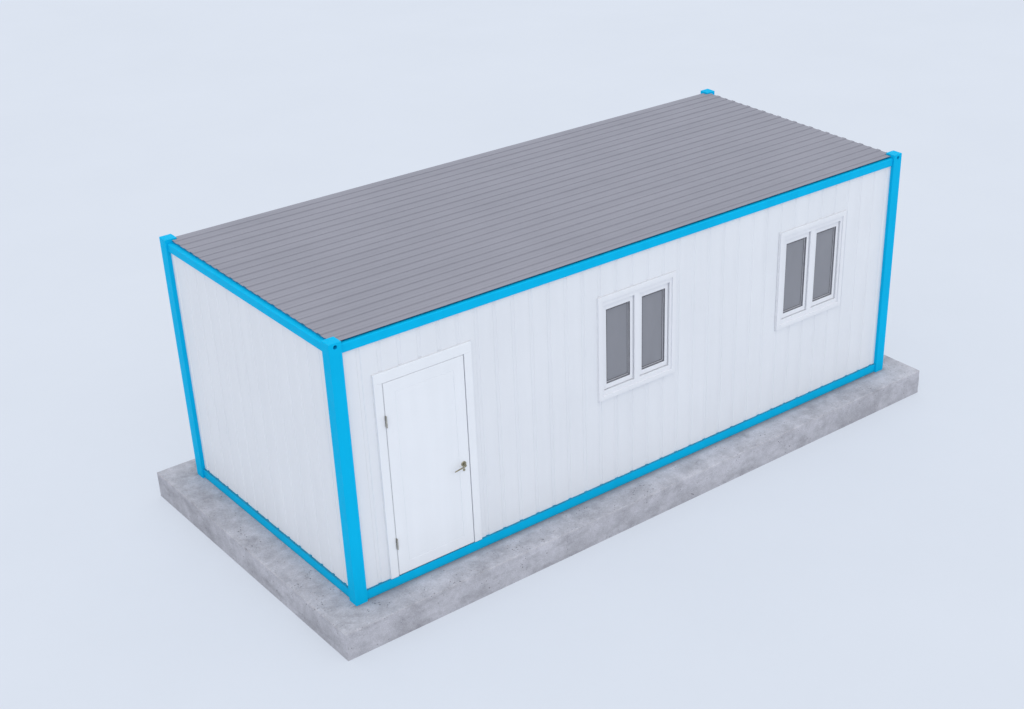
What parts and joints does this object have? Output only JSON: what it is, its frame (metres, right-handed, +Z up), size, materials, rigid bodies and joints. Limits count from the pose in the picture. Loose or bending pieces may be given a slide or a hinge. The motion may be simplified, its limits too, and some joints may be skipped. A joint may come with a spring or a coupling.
{
  "type": "portable site cabin",
  "caption": "Portable site cabin with a blue steel frame, pale ribbed walls, an outward-opening door, paired windows and a grey ribbed roof, on a concrete plinth",
  "frame": {"origin": "middle of the plinth's underside", "axes": "+X along the cabin to the right as seen from the door side, -Y out of the side with the door and windows, +Z up"},
  "size_m": [7.6, 3.6, 2.85],
  "materials": {
    "plinth": "rough cast concrete",
    "blue_paint": "satin paint",
    "floor_board": "sealed board",
    "ceiling_board": "matt",
    "wall_panel": "satin coated sheet",
    "roof_sheet": "dull coated sheet",
    "door_paint": "satin paint",
    "door_seal": "matt",
    "dark_brass": "aged",
    "window_plastic": "satin",
    "glass": "clear, grey tinted"
  },
  "bodies": {
    "cabin": {"plinth": "plinth", "post_front_left": "blue_paint", "post_front_right": "blue_paint", "post_back_left": "blue_paint", "post_back_right": "blue_paint", "base_rail_front": "blue_paint", "base_rail_back": "blue_paint", "base_rail_left": "blue_paint", "base_rail_right": "blue_paint", "top_rail_front": "blue_paint", "top_rail_back": "blue_paint", "top_rail_left": "blue_paint", "top_rail_right": "blue_paint", "roof_bearers": "blue_paint", "floor": "floor_board", "ceiling": "ceiling_board", "front_wall_left": "wall_panel", "front_wall_over_door": "wall_panel", "front_wall_pier_1": "wall_panel", "front_wall_pier_2": "wall_panel", "front_wall_right": "wall_panel", "front_wall_below_windows": "wall_panel", "front_wall_over_windows": "wall_panel", "back_wall": "wall_panel", "end_wall_left": "wall_panel", "end_wall_right": "wall_panel", "roof_sheet": "roof_sheet", "door_frame_left": "door_paint", "door_frame_right": "door_paint", "door_frame_head": "door_paint", "door_stops": "door_seal", "hinge_frame_halves": "dark_brass", "window_1_frame": "window_plastic", "window_1_sashes": "window_plastic", "window_2_frame": "window_plastic", "window_2_sashes": "window_plastic", "window_1_glass": "glass", "window_2_glass": "glass"},
    "door": {"door_leaf": "door_paint", "hinge_leaf_halves": "dark_brass", "handle_roses": "dark_brass", "lock_cylinder": "dark_brass"},
    "lever": {"lever_handle": "dark_brass"}
  },
  "joints": [
    {"name": "door_hinge", "type": "hinge", "parent": "cabin", "child": "door", "pos_m": [-3.0255, -1.494, 1.36], "axis": [0, 0, -1], "range_deg": [0, 165]},
    {"name": "lever_turn", "type": "hinge", "parent": "door", "child": "lever", "pos_m": [-2.264, -1.4575, 1.258], "axis": [0, -1, 0], "range_deg": [0, 40], "stiffness_Nm_per_rad": 1.5, "springref_deg": -28.65}
  ]
}
